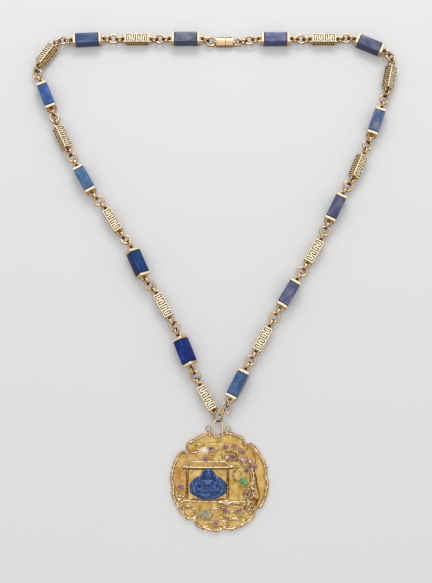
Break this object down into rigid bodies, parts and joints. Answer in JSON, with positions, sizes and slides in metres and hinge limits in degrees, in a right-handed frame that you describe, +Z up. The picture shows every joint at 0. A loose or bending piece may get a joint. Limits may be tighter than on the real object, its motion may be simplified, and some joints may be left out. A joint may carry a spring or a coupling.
{
  "type": "sautoir necklace",
  "caption": "Long necklace of square lapis bars and pierced gold links on round rings, with a box clasp and a lobed gold scenic pendant set with a carved figure and stones.",
  "frame": {"origin": "centre of the bounding box at the bottom, on the surface that the necklace lies on", "axes": "+Z up from the surface, +Y from the pendant towards the clasp, +X to the right seen from above with the clasp at the top"},
  "size_m": [0.241, 0.322, 0.0098],
  "materials": {
    "chain_gold": "polished pale yellow gold",
    "pendant_gold": "satin rich yellow gold",
    "lapis": "polished lapis lazuli",
    "figure_lapis": "carved and polished lapis lazuli",
    "opal": "polished milky opal",
    "green_stone": "polished green stone",
    "jade": "carved grey green jade",
    "pink_stone": "faceted pink stone"
  },
  "bodies": {
    "necklace": {"lapis_bar_01": "lapis", "lapis_bar_02": "lapis", "lapis_bar_03": "lapis", "lapis_bar_04": "lapis", "lapis_bar_05": "lapis", "lapis_bar_06": "lapis", "lapis_bar_07": "lapis", "lapis_bar_08": "lapis", "lapis_bar_09": "lapis", "lapis_bar_10": "lapis", "lapis_bar_11": "lapis", "lapis_bar_12": "lapis", "bar_mount_01": "chain_gold", "bar_mount_02": "chain_gold", "bar_mount_03": "chain_gold", "bar_mount_04": "chain_gold", "bar_mount_05": "chain_gold", "bar_mount_06": "chain_gold", "bar_mount_07": "chain_gold", "bar_mount_08": "chain_gold", "bar_mount_09": "chain_gold", "bar_mount_10": "chain_gold", "bar_mount_11": "chain_gold", "bar_mount_12": "chain_gold", "pierced_link_01": "chain_gold", "pierced_link_02": "chain_gold", "pierced_link_03": "chain_gold", "pierced_link_04": "chain_gold", "pierced_link_05": "chain_gold", "pierced_link_06": "chain_gold", "pierced_link_07": "chain_gold", "pierced_link_08": "chain_gold", "pierced_link_09": "chain_gold", "pierced_link_10": "chain_gold", "pierced_link_11": "chain_gold", "jump_rings_right": "chain_gold", "jump_rings_left": "chain_gold", "clasp_box": "chain_gold", "clasp_tongue": "chain_gold", "pendant_rings": "chain_gold", "medallion": "pendant_gold", "seated_figure": "figure_lapis", "opal": "opal", "green_bead": "green_stone", "jade_carving": "jade", "pink_stones": "pink_stone"},
    "catch": {"safety_catch": "chain_gold"}
  },
  "joints": [
    {"name": "catch_hinge", "type": "hinge", "parent": "necklace", "child": "catch", "pos_m": [0.00255, 0.15813, 0.002], "axis": [0, 0, 1], "range_deg": [0, 120]}
  ]
}
